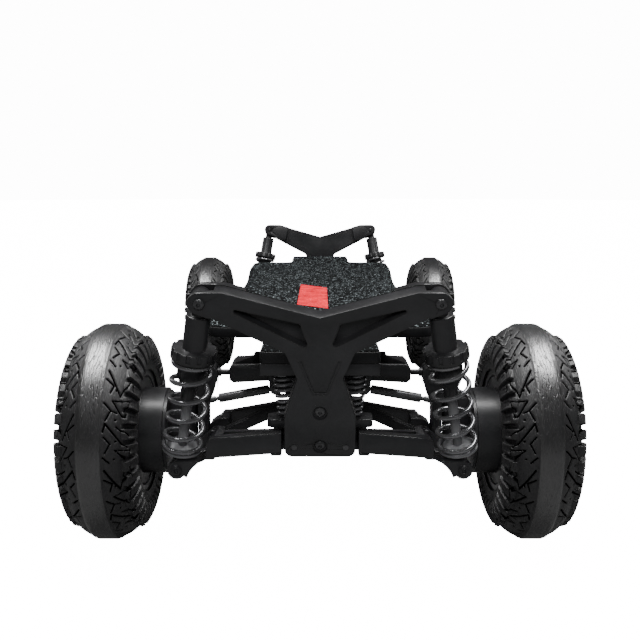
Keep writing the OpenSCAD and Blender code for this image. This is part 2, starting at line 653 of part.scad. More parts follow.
module damper_body() {
    color(black_metal) damper_frame() difference() {
        union() {
            rod_y(0, 0, -7.3, 7.3, 8.6);
            translate([0, 0, -17]) cylinder(h = 13, r = 6.8);
            translate([0, 0, -17]) cylinder(h = 0.8, r1 = damper_r, r2 = damper_r - 0.8);
            translate([0, 0, -ring_s]) cylinder(h = ring_s - 17, r = damper_r);
            // sleeve inside the spring, and its cone and bump rubber
            translate([0, 0, -sleeve_end]) cylinder(h = sleeve_end - ring_s, r = sleeve_r);
            translate([0, 0, -cone_end]) cylinder(h = cone_end - sleeve_end, r1 = shaft_r + 2.2,
                r2 = sleeve_r);
            translate([0, 0, -body_end]) cylinder(h = body_end - cone_end, r = shaft_r + 2.2);
            // preload ring with its notches
            translate([0, 0, -ring_s - ring_h]) difference() {
                cylinder(h = ring_h, r = ring_d / 2);
                for (k = [0:notches - 1]) rotate([0, 0, 360 / notches * k])
                    translate([ring_d / 2 - 1.8, -1.9, 3]) cube([6, 3.8, ring_h]);
            }
        }
        rod_y(0, 0, -20, 20, pin_r + eye_fit);
        translate([0, 0, -body_end - 1]) cylinder(h = body_end - 34, r = shaft_r + fit);
    }
}
module damper_shaft() {
    color(dark_metal) difference() {
        union() {
            damper_frame() {
                translate([0, 0, -seat_s - 8]) cylinder(h = seat_s + 8 - body_end + 38, r = shaft_r);
                translate([0, 0, -seat_s - 2]) cylinder(h = 2, r = spring_d / 2 - 1);
                translate([0, 0, -seat_s - 0.1]) cylinder(h = 3.4, r = spring_d / 2 - spring_wire - 0.6);
                translate([0, 0, -seat_s - 13]) cylinder(h = 12, r = shaft_r + 0.9);
            }
            rod_y(damper_foot[0], damper_foot[1], foot_y - 7, foot_y + 7, 8);
        }
        rod_y(damper_foot[0], damper_foot[1], foot_y - 9, foot_y + 9, pin_r + ball_fit);
    }
}
module damper_spring() {
    color(spring_steel) damper_frame() translate([0, 0, -seat_s])
        coil(5.6, seat_s - ring_s - ring_h, spring_d / 2 - spring_wire / 2,
            spring_d / 2 - spring_wire / 2, spring_wire);
}

deck_board();
grip_tape();
battery_case();
battery_pack();
motor_controller();
charge_port();
power_button();
deck_screws();
truck("front") { deck_mount(); lean_pin(); }  // front_deck_mount
truck("rear") { deck_mount(); lean_pin(); }  // rear_deck_mount
for (end = ["front", "rear"]) {
    truck(end) chassis();
    truck(end) tower();
    truck(end) truck_pins();
    truck(end) cone_springs();
    truck(end) rack();
    for (side = ["left", "right"]) {
        at = str(end, "_", side, "_");
        corner(end, side) lower_arm();
        corner(end, side) upper_arm();
        corner(end, side) carrier();
        corner(end, side) knuckle();
        corner(end, side) rim();
        corner(end, side) tyre();
        corner(end, side) tie_rod();
        corner(end, side) damper_body();
        corner(end, side) damper_shaft();
        corner(end, side) damper_spring();
    }
}
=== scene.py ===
import json
import math

import bpy
import numpy as np
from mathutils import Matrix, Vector


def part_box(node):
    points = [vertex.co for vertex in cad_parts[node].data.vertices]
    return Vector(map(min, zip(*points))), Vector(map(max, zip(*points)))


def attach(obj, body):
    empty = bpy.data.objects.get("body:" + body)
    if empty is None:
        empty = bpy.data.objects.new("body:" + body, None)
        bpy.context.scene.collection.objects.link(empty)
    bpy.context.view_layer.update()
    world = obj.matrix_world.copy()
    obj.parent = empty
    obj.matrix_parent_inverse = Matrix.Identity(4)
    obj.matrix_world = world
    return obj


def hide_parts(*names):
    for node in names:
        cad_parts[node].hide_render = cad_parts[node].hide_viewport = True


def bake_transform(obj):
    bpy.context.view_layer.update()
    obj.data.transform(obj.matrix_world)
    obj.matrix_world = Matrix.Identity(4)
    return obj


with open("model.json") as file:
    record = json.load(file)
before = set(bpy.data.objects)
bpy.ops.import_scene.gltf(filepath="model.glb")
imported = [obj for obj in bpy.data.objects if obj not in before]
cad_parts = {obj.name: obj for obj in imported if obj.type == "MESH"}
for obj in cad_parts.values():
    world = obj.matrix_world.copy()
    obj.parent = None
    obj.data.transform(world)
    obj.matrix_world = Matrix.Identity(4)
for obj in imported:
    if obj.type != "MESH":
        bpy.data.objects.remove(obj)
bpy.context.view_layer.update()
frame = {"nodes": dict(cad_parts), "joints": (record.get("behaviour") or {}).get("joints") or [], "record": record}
nodes = frame["nodes"]


# ---------------------------------------------------------------------------
# The studio: a pale floor under a white sky and the camera low in front of the
# board.  Two long strips over the wheels and a small overhead box give the
# reflections, strips behind give the edges and a fill lights the dark fronts.
# ---------------------------------------------------------------------------

camera_data = bpy.data.cameras.new("camera")
camera_data.sensor_width = 36.0
camera_data.lens = 47.72
camera = bpy.data.objects.new("camera", camera_data)
camera.location = (0.0, -1.2695, 0.3716)
camera.rotation_euler = (math.pi / 2 - 0.1613, 0.0, 0.0)
bpy.context.scene.collection.objects.link(camera)
bpy.context.scene.camera = camera

bpy.ops.object.select_all(action="DESELECT")
bpy.ops.mesh.primitive_circle_add(vertices=64, radius=14.0, fill_type="NGON", location=(0, 4.0, -0.0005))
floor = bpy.context.object
floor.name = "studio_floor"
floor_finish = bpy.data.materials.new("pale_floor")
floor_finish.use_nodes = True
floor_finish.node_tree.nodes["Principled BSDF"].inputs["Base Color"].default_value = (0.12, 0.12, 0.12, 1)
floor_finish.node_tree.nodes["Principled BSDF"].inputs["Roughness"].default_value = 0.9
floor_finish.node_tree.nodes["Principled BSDF"].inputs["Specular IOR Level"].default_value = 0.1
floor_finish.node_tree.nodes["Principled BSDF"].inputs["Emission Color"].default_value = (1.0, 1.0, 1.0, 1)
floor_seen = floor_finish.node_tree.nodes.new("ShaderNodeLightPath")
floor_glow = floor_finish.node_tree.nodes.new("ShaderNodeMapRange")
floor_glow.inputs["To Min"].default_value = 0.0
floor_glow.inputs["To Max"].default_value = 16.0
floor_finish.node_tree.links.new(floor_seen.outputs["Is Camera Ray"], floor_glow.inputs["Value"])
floor_finish.node_tree.links.new(
    floor_glow.outputs["Result"], floor_finish.node_tree.nodes["Principled BSDF"].inputs["Emission Strength"])
floor.data.materials.append(floor_finish)

sky = bpy.data.worlds.new("studio_sky")
sky.use_nodes = True
sky_light = sky.node_tree.nodes["Background"]
sky_light.inputs["Color"].default_value = (1.0, 1.0, 1.0, 1.0)
sky_light.inputs["Strength"].default_value = 0.09
sky_seen = sky.node_tree.nodes.new("ShaderNodeBackground")
sky_seen.inputs["Strength"].default_value = 14.0
sky_seen.inputs["Color"].default_value = (1.0, 1.0, 1.0, 1.0)
sky_ray = sky.node_tree.nodes.new("ShaderNodeLightPath")
sky_mix = sky.node_tree.nodes.new("ShaderNodeMixShader")
sky.node_tree.links.new(sky_ray.outputs["Is Camera Ray"], sky_mix.inputs["Fac"])
sky.node_tree.links.new(sky_light.outputs["Background"], sky_mix.inputs[1])
sky.node_tree.links.new(sky_seen.outputs["Background"], sky_mix.inputs[2])
sky.node_tree.links.new(sky_mix.outputs["Shader"], sky.node_tree.nodes["World Output"].inputs["Surface"])
bpy.context.scene.world = sky


def soft_box(name, place, target, size, power, glossy=True):
    """A soft box at place, turned to target; without glossy it leaves no reflection."""
    light = bpy.data.lights.new(name, "AREA")
    light.shape = "RECTANGLE"
    light.size, light.size_y = size
    light.energy = power
    holder = bpy.data.objects.new(name, light)
    holder.location = place
    holder.rotation_euler = (Vector(target) - Vector(place)).to_track_quat("-Z", "Y").to_euler()
    holder.visible_glossy = glossy
    bpy.context.scene.collection.objects.link(holder)


soft_box("overhead_box", (0.0, -0.5, 1.9), (0.0, -0.45, 0.0), (0.5, 0.4), 20.0)
soft_box("left_overhead_strip", (-0.64, -0.3, 1.9), (-0.64, -0.3, 0.0), (0.34, 1.1), 60.0)
soft_box("right_overhead_strip", (0.64, -0.3, 1.9), (0.64, -0.3, 0.0), (0.34, 1.1), 60.0)
soft_box("front_fill", (0.0, -2.6, 1.3), (0.0, -0.4, 0.15), (2.2, 0.9), 130.0, glossy=False)
soft_box("right_back_strip", (1.6, 0.6, 1.2), (0.0, -0.3, 0.15), (0.4, 1.2), 14.0)
soft_box("glint_light", (-0.5, -2.2, 1.7), (0.0, -0.45, 0.15), (0.3, 0.3), 1.2)
soft_box("left_back_strip", (-1.6, 0.9, 1.2), (0.0, -0.3, 0.15), (0.4, 1.2), 7.0)


# ---------------------------------------------------------------------------
# The deck: a pressed composite board with rounded edges, satin black, drilled
# for the truck brackets.  Its edges are broken by hand with a file.
# ---------------------------------------------------------------------------

def new_group(name, inputs, outputs):
    """An empty shader group with float inputs and the named outputs."""
    group = bpy.data.node_groups.new(name, "ShaderNodeTree")
    for key, value in inputs.items():
        socket = group.interface.new_socket(key, in_out="INPUT", socket_type="NodeSocketFloat")
        socket.default_value = value
    for key, kind in outputs.items():
        group.interface.new_socket(key, in_out="OUTPUT", socket_type=kind)
    return group, group.nodes.new("NodeGroupInput"), group.nodes.new("NodeGroupOutput")


# Fine surface grain with broad handling marks, used by every hard finish
grain, grain_in, grain_out = new_group(
    "surface_grain", {"Scale": 900.0, "Depth": 0.1},
    {"Marks": "NodeSocketFloat", "Normal": "NodeSocketVector"})
place = grain.nodes.new("ShaderNodeTexCoord")
fine = grain.nodes.new("ShaderNodeTexNoise")
fine.inputs["Detail"].default_value = 3.0
broad = grain.nodes.new("ShaderNodeTexNoise")
broad.inputs["Scale"].default_value = 22.0
broad.inputs["Detail"].default_value = 5.0
broad.inputs["Roughness"].default_value = 0.65
bump = grain.nodes.new("ShaderNodeBump")
bump.inputs["Distance"].default_value = 0.0002
for a, b in (
        (place.outputs["Object"], fine.inputs["Vector"]),
        (place.outputs["Object"], broad.inputs["Vector"]),
        (grain_in.outputs["Scale"], fine.inputs["Scale"]),
        (grain_in.outputs["Depth"], bump.inputs["Strength"]),
        (fine.outputs["Fac"], bump.inputs["Height"]),
        (broad.outputs["Fac"], grain_out.inputs["Marks"]),
        (bump.outputs["Normal"], grain_out.inputs["Normal"])):
    grain.links.new(a, b)


def hard_finish(name, dark, light, gloss, metallic=0.0, specular=0.5, scale=900.0, depth=0.1, slot=None):
    """A satin or gloss finish: colour drifts from dark to light, roughness between the two of gloss."""
    finish = bpy.data.materials.new(name)
    finish.use_nodes = True
    tree = finish.node_tree
    body = tree.nodes["Principled BSDF"]
    body.inputs["Metallic"].default_value = metallic
    body.inputs["Specular IOR Level"].default_value = specular
    surface = tree.nodes.new("ShaderNodeGroup")
    surface.node_tree = grain
    surface.inputs["Scale"].default_value = scale
    surface.inputs["Depth"].default_value = depth
    colour = tree.nodes.new("ShaderNodeValToRGB")
    colour.color_ramp.elements[0].position = 0.35
    colour.color_ramp.elements[1].position = 0.7
    colour.color_ramp.elements[0].color = (*dark, 1)
    colour.color_ramp.elements[1].color = (*light, 1)
    rough = tree.nodes.new("ShaderNodeMapRange")
    rough.inputs["From Min"].default_value = 0.3
    rough.inputs["From Max"].default_value = 0.7
    rough.inputs["To Min"].default_value = gloss[0]
    rough.inputs["To Max"].default_value = gloss[1]
    tree.links.new(surface.outputs["Marks"], colour.inputs["Fac"])
    tree.links.new(surface.outputs["Marks"], rough.inputs["Value"])
    tree.links.new(colour.outputs["Color"], body.inputs["Base Color"])
    tree.links.new(rough.outputs["Result"], body.inputs["Roughness"])
    tree.links.new(surface.outputs["Normal"], body.inputs["Normal"])
    return finish


def only(piece):
    """Makes this piece the only selected one, and the active one."""
    bpy.ops.object.select_all(action="DESELECT")
    piece.select_set(True)
    bpy.context.view_layer.objects.active = piece


def broken_edges(node, finish, edge, segments=2, angle=32.0):
    """A copy of a frame node with its sharp edges rounded off, which takes that node's place."""
    source = nodes[node]
    piece = bpy.data.objects.new(node + "_finished", source.data.copy())
    bpy.context.scene.collection.objects.link(piece)
    only(piece)
    bpy.ops.object.mode_set(mode="EDIT")
    bpy.ops.mesh.select_all(action="SELECT")
    bpy.ops.mesh.remove_doubles(threshold=2e-5)
    bpy.ops.mesh.dissolve_limited(angle_limit=math.radians(1.0))
    bpy.ops.mesh.vert_connect_concave()
    bpy.ops.object.mode_set(mode="OBJECT")
    bevel = piece.modifiers.new("broken_edges", "BEVEL")
    bevel.width = edge
    bevel.segments = segments
    bevel.limit_method = "ANGLE"
    bevel.angle_limit = math.radians(angle)
    bevel.use_clamp_overlap = False
    bpy.ops.object.modifier_apply(modifier=bevel.name)
    bpy.ops.object.shade_smooth_by_angle(angle=math.radians(30.0))
    piece.data.materials.clear()
    piece.data.materials.append(finish)
    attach(piece, body_of_node[node])
    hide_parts(node)
    return piece


def dress(node, finish):
    """Gives a frame node its finish."""
    nodes[node].data.materials.clear()
    nodes[node].data.materials.append(finish)


body_of_node = {n: body for body, members in frame["record"]["behaviour"]["bodies"].items() for n in members}

laminate = hard_finish(
    "black_laminate", (0.002, 0.002, 0.0022), (0.004, 0.004, 0.0045), (0.5, 0.65),
    specular=0.2, scale=260.0, depth=0.12)
broken_edges("deck_board", laminate, 0.0012)


# ---------------------------------------------------------------------------
# The grip tape: a sheet of black mineral grit on the board, with one plain red
# patch.  A few single grains are painted light, as painted glints.
# ---------------------------------------------------------------------------

def grit_finish(name, ground, grain_and_painted_glint_colours, painted_glint_from):
    """Packed grit: cells of about a millimetre, a few of them painted bright as painted glints."""
    finish = bpy.data.materials.new(name)
    finish.use_nodes = True
    tree = finish.node_tree
    body = tree.nodes["Principled BSDF"]
    body.inputs["Roughness"].default_value = 0.85
    body.inputs["Specular IOR Level"].default_value = 0.04
    where = tree.nodes.new("ShaderNodeTexCoord")
    cells = tree.nodes.new("ShaderNodeTexVoronoi")
    cells.inputs["Scale"].default_value = 700.0
    pick = tree.nodes.new("ShaderNodeSeparateColor")
    shade = tree.nodes.new("ShaderNodeValToRGB")
    shade.color_ramp.elements[0].position = 0.0
    shade.color_ramp.elements[0].color = (*ground, 1)
    # The top of the ramp, reached only by the few cells past the middle stop, is a light colour: painted glints on
    # single grains.
    shade.color_ramp.elements[1].position = 1.0
    shade.color_ramp.elements[1].color = (*grain_and_painted_glint_colours[1], 1)
    middle = shade.color_ramp.elements.new(painted_glint_from)
    middle.color = (*grain_and_painted_glint_colours[0], 1)
    cloud = tree.nodes.new("ShaderNodeTexNoise")
    cloud.inputs["Scale"].default_value = 60.0
    cloud.inputs["Detail"].default_value = 4.0
    soften = tree.nodes.new("ShaderNodeMapRange")
    soften.inputs["From Min"].default_value = 0.3
    soften.inputs["From Max"].default_value = 0.7
    soften.inputs["To Min"].default_value = 0.55
    soften.inputs["To Max"].default_value = 1.25
    tint = tree.nodes.new("ShaderNodeMix")
    tint.data_type = "RGBA"
    tint.blend_type = "MULTIPLY"
    tint.inputs["Factor"].default_value = 1.0
    bump = tree.nodes.new("ShaderNodeBump")
    bump.inputs["Strength"].default_value = 0.9
    bump.inputs["Distance"].default_value = 0.0006
    bump.invert = True
    tree.links.new(where.outputs["Object"], cells.inputs["Vector"])
    tree.links.new(where.outputs["Object"], cloud.inputs["Vector"])
    tree.links.new(cells.outputs["Color"], pick.inputs["Color"])
    tree.links.new(pick.outputs["Red"], shade.inputs["Fac"])
    tree.links.new(cloud.outputs["Fac"], soften.inputs["Value"])
    tree.links.new(shade.outputs["Color"], tint.inputs["A"])
    tree.links.new(soften.outputs["Result"], tint.inputs["B"])
    tree.links.new(tint.outputs["Result"], body.inputs["Base Color"])
    tree.links.new(cells.outputs["Distance"], bump.inputs["Height"])
    tree.links.new(bump.outputs["Normal"], body.inputs["Normal"])
    return finish


grip = grit_finish("black_grit", (0.001, 0.001, 0.0012), ((0.003, 0.0034, 0.0036), (0.26, 0.3, 0.31)), 0.92)
broken_edges("grip_tape", grip, 0.0003, segments=1)

red_grit = grit_finish("red_grit", (0.34, 0.006, 0.012), ((0.44, 0.009, 0.018), (0.6, 0.05, 0.065)), 0.85)
grip_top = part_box("grip_tape")[1].z
bpy.ops.object.select_all(action="DESELECT")
bpy.ops.mesh.primitive_plane_add(size=1.0, location=(0, 0, 0))
patch = bpy.context.object
patch.name = "red_patch"
patch_corners = ((-0.029, -0.205), (0.010, -0.240), (-0.029, 0.008), (0.010, -0.034))
for corner, (x, y) in zip(patch.data.vertices, patch_corners):
    corner.co = (x, y, grip_top - 0.0002)
only(patch)
bpy.ops.object.mode_set(mode="EDIT")
bpy.ops.mesh.select_all(action="SELECT")
bpy.ops.mesh.normals_make_consistent(inside=False)
bpy.ops.mesh.extrude_region_move(TRANSFORM_OT_translate={"value": (0, 0, 0.0005)})
bpy.ops.mesh.select_all(action="SELECT")
bpy.ops.mesh.normals_make_consistent(inside=False)
bpy.ops.object.mode_set(mode="OBJECT")
patch.data.materials.append(red_grit)
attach(patch, "deck")


# ---------------------------------------------------------------------------
# The battery case and what is in and on it: a textured plastic tub below the
# deck, the cells, the motor controller, the charge port and the power button.
# ---------------------------------------------------------------------------

plastic = hard_finish(
    "textured_plastic", (0.008, 0.008, 0.009), (0.016, 0.016, 0.017), (0.5, 0.65), scale=1400.0, depth=0.35)
broken_edges("battery_case", plastic, 0.0015, segments=3)
dress("battery_pack", hard_finish("cell_wrap", (0.02, 0.07, 0.25), (0.03, 0.1, 0.32), (0.2, 0.3)))
cast_grey = hard_finish("cast_grey", (0.08, 0.08, 0.085), (0.12, 0.12, 0.125), (0.4, 0.5), metallic=0.6)
dress("motor_controller", cast_grey)
port_finish = hard_finish("port_black", (0.01, 0.01, 0.01), (0.02, 0.02, 0.02), (0.25, 0.35))
broken_edges("charge_port", port_finish, 0.0004)
bright = hard_finish(
    "bright_steel", (0.5, 0.5, 0.51), (0.62, 0.62, 0.63), (0.2, 0.3), metallic=1.0, scale=1500.0)
broken_edges("power_button", bright, 0.0006)
screw_black = hard_finish(
    "oiled_steel", (0.016, 0.016, 0.017), (0.03, 0.03, 0.031), (0.2, 0.32), metallic=0.5, specular=0.6)
broken_edges("deck_screws", screw_black, 0.00025, segments=1)


# ---------------------------------------------------------------------------
# Each truck: milled and black-anodised aluminium plates bolted together, the
# bracket under the deck's nose, the tower, the chassis, its pins and the rack.
# ---------------------------------------------------------------------------

anodised = hard_finish(
    "black_anodised", (0.005, 0.005, 0.0054), (0.009, 0.009, 0.0096), (0.28, 0.4), specular=0.25, depth=0.16)
grey_anodised = hard_finish(
    "grey_anodised", (0.045, 0.046, 0.048), (0.07, 0.071, 0.074), (0.3, 0.42), metallic=0.35, depth=0.12)
for end in ("front", "rear"):
    broken_edges(end + "_deck_mount", anodised, 0.0008)
    broken_edges(end + "_chassis", anodised, 0.0007)
    broken_edges(end + "_tower", anodised, 0.0009)
    broken_edges(end + "_truck_pins", screw_black, 0.0003)
    broken_edges(end + "_rack", grey_anodised, 0.0004)


# ---------------------------------------------------------------------------
# The springs: cold-wound round wire with closed ends, gunmetal and glossy.
# Cone springs centre the lean, cylindrical ones carry the board on its dampers.
# ---------------------------------------------------------------------------

spring_wire = hard_finish(
    "spring_steel", (0.09, 0.09, 0.095), (0.15, 0.15, 0.155), (0.16, 0.27), metallic=0.85)


def wound_spring(name, foot, up, turns, height, radii, wire, start=0.0, per_turn=40):
    """A coil from foot along up, with closed ends, drawn as a round bar along its own helix."""
    up = Vector(up).normalized()
    side = up.orthogonal().normalized()
    other = up.cross(side)
    flat = 0.62 / turns
    count = int(turns * per_turn)
    curve = bpy.data.curves.new(name, "CURVE")
    curve.dimensions = "3D"
    curve.bevel_depth = wire / 2
    curve.bevel_resolution = 4
    curve.use_fill_caps = True
    line = curve.splines.new("POLY")
    line.points.add(count)
    for i in range(count + 1):
        t = i / count
        rise = min(1.0, max(0.0, (t - flat) / (1 - 2 * flat)))
        closed = wire * 0.55 * (min(t, flat) + max(0.0, t - 1 + flat)) / flat
        radius = radii[0] + (radii[1] - radii[0]) * t
        turn = start + 2 * math.pi * turns * t
        along = wire / 2 + closed + (height - 2.1 * wire) * rise
        round_axis = side * math.cos(turn) + other * math.sin(turn)
        line.points[i].co = (*(Vector(foot) + up * along + round_axis * radius), 1.0)
    holder = bpy.data.objects.new(name, curve)
    bpy.context.scene.collection.objects.link(holder)
    only(holder)
    bpy.ops.object.convert(target="MESH")
    piece = bpy.context.object
    bpy.ops.object.shade_smooth()
    piece.data.materials.append(spring_wire)
    return piece


joints = {j["name"]: j for j in frame["joints"]}
cone_wire = 0.0032
for end in ("front", "rear"):
    pad_low, pad_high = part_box(end + "_cone_springs")
    out = (pad_low.y + pad_high.y) / 2
    for sign, side in ((-1, "right"), (1, "left")):
        coil = wound_spring(
            f"{end}_{side}_cone_coil", (sign * 0.0335, out, 0.150), (0, 0, 1), 8.0, 0.044,
            (0.0054, 0.0108), cone_wire, start=sign * 1.2)
        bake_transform(coil)
        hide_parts(end + "_cone_springs")

damper_length, seat_gap, ring_bottom = 0.17221, 0.019, 0.059
for end in ("front", "rear"):
    for side in ("left", "right"):
        corner = f"{end}_{side}_"
        top = Vector(joints[corner + "damper_swing"]["pos_m"])
        down = Vector(joints[corner + "damper_slide"]["axis"])
        seat = top + down * (damper_length - seat_gap)
        collar = top + down * ring_bottom
        coil = wound_spring(
            corner + "damper_coil", seat, -down, 5.6, (seat - collar).length, (0.0173, 0.0173), 0.0048,
            start=0.6 if side == "left" else 2.4)
        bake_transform(coil)
        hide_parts(corner + "damper_spring")


# ---------------------------------------------------------------------------
# Each corner's arms, carrier, hub case, tie rod and damper: milled aluminium.
# The threaded rods are bright on the board itself; here the tie rods and damper shafts get a grey finish.
# ---------------------------------------------------------------------------

for end in ("front", "rear"):
    for side in ("left", "right"):
        corner = f"{end}_{side}_"
        broken_edges(corner + "lower_arm", anodised, 0.0008)
        broken_edges(corner + "upper_arm", anodised, 0.0007)
        broken_edges(corner + "carrier", anodised, 0.0006)
        broken_edges(corner + "knuckle", anodised, 0.0006)
        broken_edges(corner + "tie_rod", grey_anodised, 0.0003)
        broken_edges(corner + "damper_body", anodised, 0.0005)
        broken_edges(corner + "damper_shaft", grey_anodised, 0.0004)


# ---------------------------------------------------------------------------
# The wheels: a five-spoke alloy rim with a pneumatic tyre held by its beads.
# The tyre has a flat worn centre band, sharp slits beside it and a row of
# square knobs on each shoulder.
# ---------------------------------------------------------------------------

alloy = hard_finish("black_alloy", (0.012, 0.012, 0.013), (0.022, 0.022, 0.024), (0.28, 0.4), specular=0.6)
for end in ("front", "rear"):
    for side in ("left", "right"):
        broken_edges(f"{end}_{side}_rim", alloy, 0.0007)

tyre_low, tyre_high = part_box("front_left_tyre")
tyre_radius = (tyre_high.z - tyre_low.z) / 2
tyre_half = (tyre_high.x - tyre_low.x) / 2
section_height = 0.038
bead_radius = 0.0611
band_half = 0.0114
knobs = 40
around = knobs * 22


def step(edge, width, value):
    """0 below the edge and 1 above it, eased over width."""
    t = np.clip((value - edge) / width + 0.5, 0, 1)
    return t * t * (3 - 2 * t)


# The slits of one repeat on one half of the tread, in millimetres: round the tyre and out from its
# centre line at each end, then half the width.  The very short ones are round dimples.
slits = (
    (4, 15, 30, 30, 0.81), (30, 30, 12, 36, 0.61), (14, 14, 20, 22, 0.68), (20, 22, 28, 19, 0.61),
    (36, 22, 52, 34, 0.74), (52, 34, 34, 38, 0.61), (34, 38, 36, 22, 0.54), (39, 14, 46, 21, 0.68),
    (46, 21, 56, 16, 0.68), (46, 21, 48, 27, 0.54), (59, 16, 84, 37, 0.88), (59, 16, 67, 14, 0.68),
    (62, 27, 72, 40, 0.68), (72, 15, 79, 21, 0.68), (79, 21, 88, 16, 0.61), (86, 26, 98, 38, 0.74),
    (98, 38, 88, 41, 0.61), (88, 41, 86, 26, 0.54), (92, 14, 98, 20, 0.68), (6, 39, 20, 42, 0.61),
    (24, 24.9, 24, 25, 1.1), (55, 25.9, 55, 26, 1.0), (77, 26.9, 77, 27, 1.1), (95, 24.9, 95, 25, 0.9))
circumference_mm = 2 * math.pi * tyre_radius * 1000
pitch = circumference_mm / 7
side_shift = pitch * 0.46
slit_depth = 0.0013


def slit_gap(round_tyre, out):
    """Millimetres from each place of the tread to the nearest slit's wall, below 0 inside a slit."""
    place = np.mod(round_tyre + np.where(out < 0, side_shift, 0.0), pitch)
    nearest_wall = np.full_like(place, 9.0)
    for u0, s0, u1, s1, half_width in slits:
        du, ds = u1 - u0, s1 - s0
        share = np.clip(((place - u0) * du + (np.abs(out) - s0) * ds) / (du * du + ds * ds), 0, 1)
        away = np.hypot(place - u0 - share * du, np.abs(out) - s0 - share * ds)
        nearest_wall = np.minimum(nearest_wall, away - half_width)
    return nearest_wall


# The carcass section, then the flat centre band and the row of square knobs on each shoulder
half_tilt = np.radians(np.concatenate(
    [np.linspace(0, 17, 5), np.linspace(17, 66, 39)[1:], np.linspace(66, 104, 10)[1:]]))
tilt = np.concatenate([-half_tilt[:0:-1], half_tilt])
across = len(tilt)
power = 2 / 2.12
section_x = (tyre_half - 0.0008) * np.sign(np.sin(tilt)) * np.abs(np.sin(tilt)) ** power
section_r = np.sign(np.cos(tilt)) * np.abs(np.cos(tilt)) ** power
section_r = tyre_radius - 0.0004 - section_height + section_height * section_r
lengths = np.concatenate([[0], np.cumsum(np.hypot(np.diff(section_x), np.diff(section_r)))]) * 1000
lengths -= lengths[-1] / 2
slope_x, slope_r = np.gradient(section_x), np.gradient(section_r)
size = np.hypot(slope_x, slope_r)
normal_x, normal_r = -slope_r / size, slope_x / size
in_band = 1 - step(band_half, 0.0007, np.abs(section_x))
section_r = section_r + in_band * (tyre_radius - section_r)
ring = np.arange(around)
along_knob = (ring % (around // knobs)) / (around / knobs)
on_knob = step(0.15, 0.06, along_knob) * (1 - step(0.82, 0.06, along_knob))
on_shoulder = step(33.5, 1.2, np.abs(lengths)) * (1 - step(57.0, 1.4, np.abs(lengths)))
lift = 0.0044 * on_knob[:, None] * on_shoulder[None]
dent = step(0.3, 0.08, along_knob)[:, None] * (1 - step(0.66, 0.08, along_knob))[:, None]
dent = dent * (step(38.5, 1.0, np.abs(lengths)) * (1 - step(47.0, 1.0, np.abs(lengths))))[None]
lift = lift - 0.0009 * dent
round_mm = ring[:, None] * (circumference_mm / around) + 0 * lengths[None]
slit_here = 1 - step(0.15, 0.7, slit_gap(round_mm, lengths[None] + 0 * round_mm))
lift = lift - slit_depth * slit_here * (np.abs(lengths) > band_half * 1000)[None]
ring_x = section_x[None] + lift * normal_x[None]
ring_r = section_r[None] + lift * normal_r[None]
bead = ((section_x[-1] - 0.002, 0.0662), (section_x[-1] - 0.0025, bead_radius), (0.0, bead_radius),
        (-section_x[-1] + 0.0025, bead_radius), (-section_x[-1] + 0.002, 0.0662))
ring_x = np.hstack([ring_x] + [np.full((around, 1), x) for x, r in bead])
ring_r = np.hstack([ring_r] + [np.full((around, 1), r) for x, r in bead])
outs = np.concatenate([lengths, np.full(len(bead), 90.0)])
wide = across + len(bead)
angle = 2 * math.pi * ring[:, None] / around
tyre_points = np.stack([ring_x, ring_r * np.cos(angle), ring_r * np.sin(angle)], axis=-1)

# One slit of the tread: how far a place is from the line between its two ends
slit, slit_in, slit_out = new_group("tread_slit", {"Half Width": 0.5}, {"Gap": "NodeSocketFloat"})
for key in ("Place", "Start", "End"):
    slit.interface.new_socket(key, in_out="INPUT", socket_type="NodeSocketVector")


def vector_step(tree, operation, first, second=None):
    """A vector sum node fed by the sockets given."""
    made = tree.nodes.new("ShaderNodeVectorMath")
    made.operation = operation
    tree.links.new(first, made.inputs[0])
    if second is not None:
        tree.links.new(second, made.inputs[1])
    return made


def number_step(tree, operation, *values):
    """A sum node fed by sockets or plain numbers; its one output is given back."""
    made = tree.nodes.new("ShaderNodeMath")
    made.operation = operation
    for socket, value in zip(made.inputs, values):
        if isinstance(value, (int, float)):
            socket.default_value = value
        else:
            tree.links.new(value, socket)
    return made.outputs["Value"]


slit_start = slit_in.outputs["Start"]
from_start = vector_step(slit, "SUBTRACT", slit_in.outputs["Place"], slit_start).outputs["Vector"]
whole = vector_step(slit, "SUBTRACT", slit_in.outputs["End"], slit_start).outputs["Vector"]
reached = vector_step(slit, "DOT_PRODUCT", from_start, whole).outputs["Value"]
squared = vector_step(slit, "DOT_PRODUCT", whole, whole).outputs["Value"]
share = slit.nodes.new("ShaderNodeClamp")
slit.links.new(number_step(slit, "DIVIDE", reached, squared), share.inputs["Value"])
foot = slit.nodes.new("ShaderNodeVectorMath")
foot.operation = "SCALE"
slit.links.new(whole, foot.inputs[0])
slit.links.new(share.outputs["Result"], foot.inputs["Scale"])
away = vector_step(slit, "DISTANCE", from_start, foot.outputs["Vector"]).outputs["Value"]
slit.links.new(number_step(slit, "SUBTRACT", away, slit_in.outputs["Half Width"]), slit_out.inputs["Gap"])

